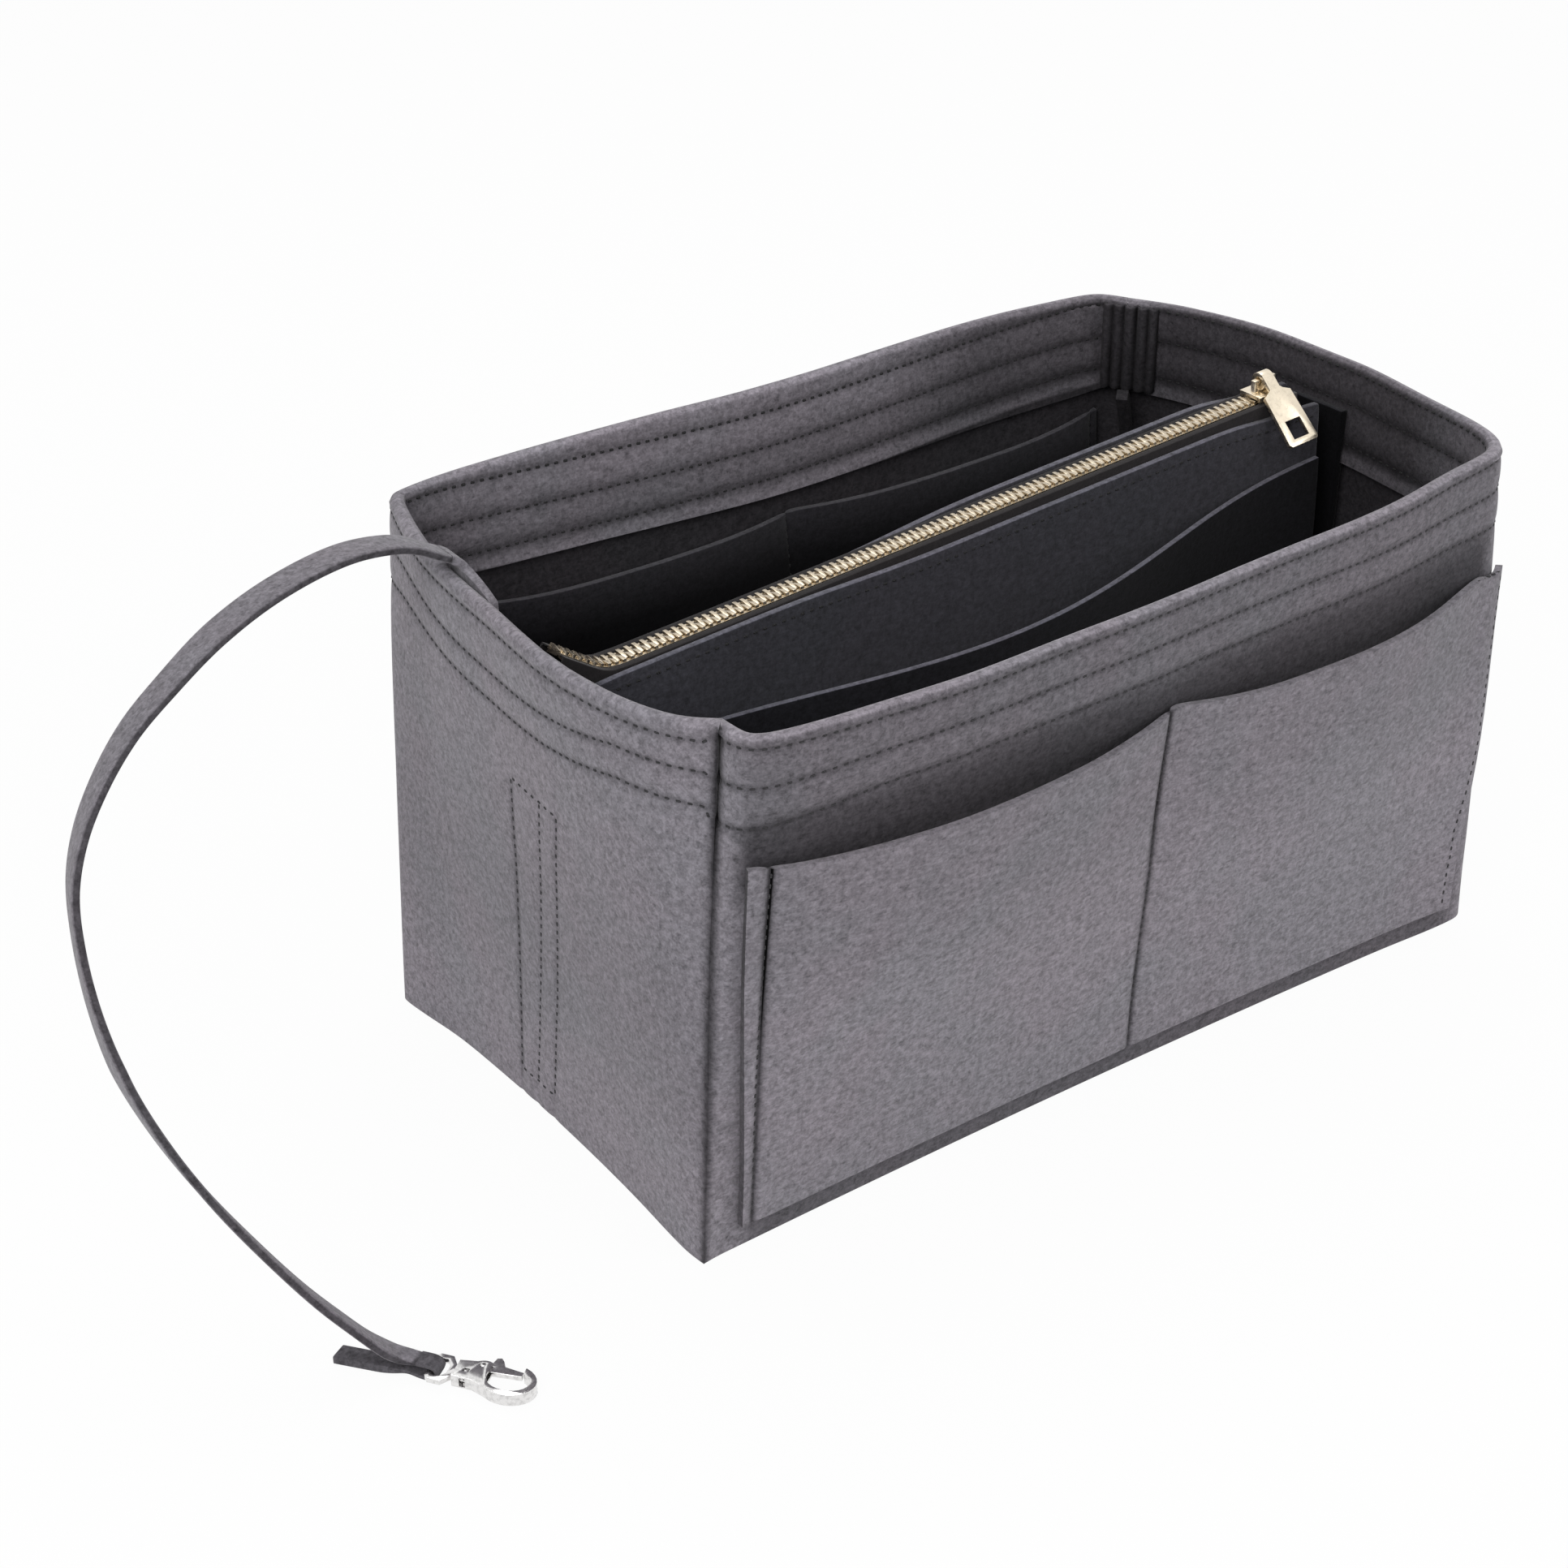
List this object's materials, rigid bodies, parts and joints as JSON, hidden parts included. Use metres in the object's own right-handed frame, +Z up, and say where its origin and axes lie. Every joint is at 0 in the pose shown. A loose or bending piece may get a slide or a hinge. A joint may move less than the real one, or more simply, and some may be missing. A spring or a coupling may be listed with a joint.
{
  "type": "felt bag organiser",
  "caption": "Open-topped felt toiletry organiser with slip pockets, a removable zipped inner pouch and a felt key strap that ends in a small swivel clasp.",
  "frame": {"origin": "on the surface it stands on, under the middle of the bag's own box, the strap left out", "axes": "+X along the organiser towards the end where the zip closes, -Y out of the front, +Z up"},
  "size_m": [0.424, 0.1976, 0.1744],
  "materials": {
    "felt_outer": "mottled grey felt",
    "felt_inner": "grey felt",
    "felt_pouch": "grey felt",
    "strap_felt": "cut felt strip",
    "hook_tape": "nylon hooks",
    "loop_tape": "nylon loops",
    "zip_tape": "woven tape",
    "zip_metal": "polished, pale gold",
    "puller_metal": "polished, pale gold",
    "clasp_metal": "polished nickel"
  },
  "bodies": {
    "shell": {"back_left_wall": "felt_outer", "front_right_wall": "felt_outer", "base_panel": "felt_inner", "back_right_seam": "felt_outer", "front_left_seam": "felt_outer", "front_outer_pocket": "felt_outer", "back_outer_pocket": "felt_outer", "back_inner_pocket": "felt_inner", "front_inner_pocket": "felt_inner", "left_hook_strip": "hook_tape", "right_hook_strip": "hook_tape", "strap_sewn_end": "strap_felt", "key_strap": "strap_felt", "strap_end_fold": "strap_felt", "clasp_swivel_eye": "clasp_metal"},
    "pouch": {"pouch_front_panel": "felt_pouch", "pouch_back_panel": "felt_pouch", "pouch_slip_pocket": "felt_pouch", "left_tab": "felt_pouch", "right_tab": "felt_pouch", "left_loop_strip": "loop_tape", "right_loop_strip": "loop_tape", "zip_teeth_front": "zip_metal", "zip_teeth_back": "zip_metal", "zip_tape_front": "zip_tape", "zip_tape_back": "zip_tape", "zip_top_stop_front": "zip_metal", "zip_top_stop_back": "zip_metal"},
    "slider": {"zip_slider": "zip_metal"},
    "puller": {"zip_puller": "puller_metal"},
    "clasp": {"clasp_hook": "clasp_metal", "clasp_gate_pin": "clasp_metal"},
    "gate": {"clasp_gate": "clasp_metal"}
  },
  "joints": [
    {"name": "pouch_lift", "type": "slide", "parent": "shell", "child": "pouch", "axis": [0, 0, 1], "range_m": [0, 0.18]},
    {"name": "zip_slide", "type": "slide", "parent": "pouch", "child": "slider", "axis": [0.9969, 0, 0.0785], "range_m": [-0.222, 0], "deforming": ["zip_teeth_front", "zip_teeth_back"]},
    {"name": "puller_swing", "type": "hinge", "parent": "slider", "child": "puller", "pos_m": [0.11823, 0.0027, 0.15929], "axis": [0.9969, 0, 0.0785], "range_deg": [-225, 0]},
    {"name": "clasp_swivel", "type": "hinge", "parent": "shell", "child": "clasp", "pos_m": [-0.21815, -0.0737, 0.0026], "axis": [0.5835, -0.8121, 0], "continuous": true},
    {"name": "gate_swing", "type": "hinge", "parent": "clasp", "child": "gate", "pos_m": [-0.21003, -0.07969, 0.0026], "axis": [0, 0, 1], "range_deg": [-28, 0], "stiffness_Nm_per_rad": 0.002, "springref_deg": 5.73}
  ]
}
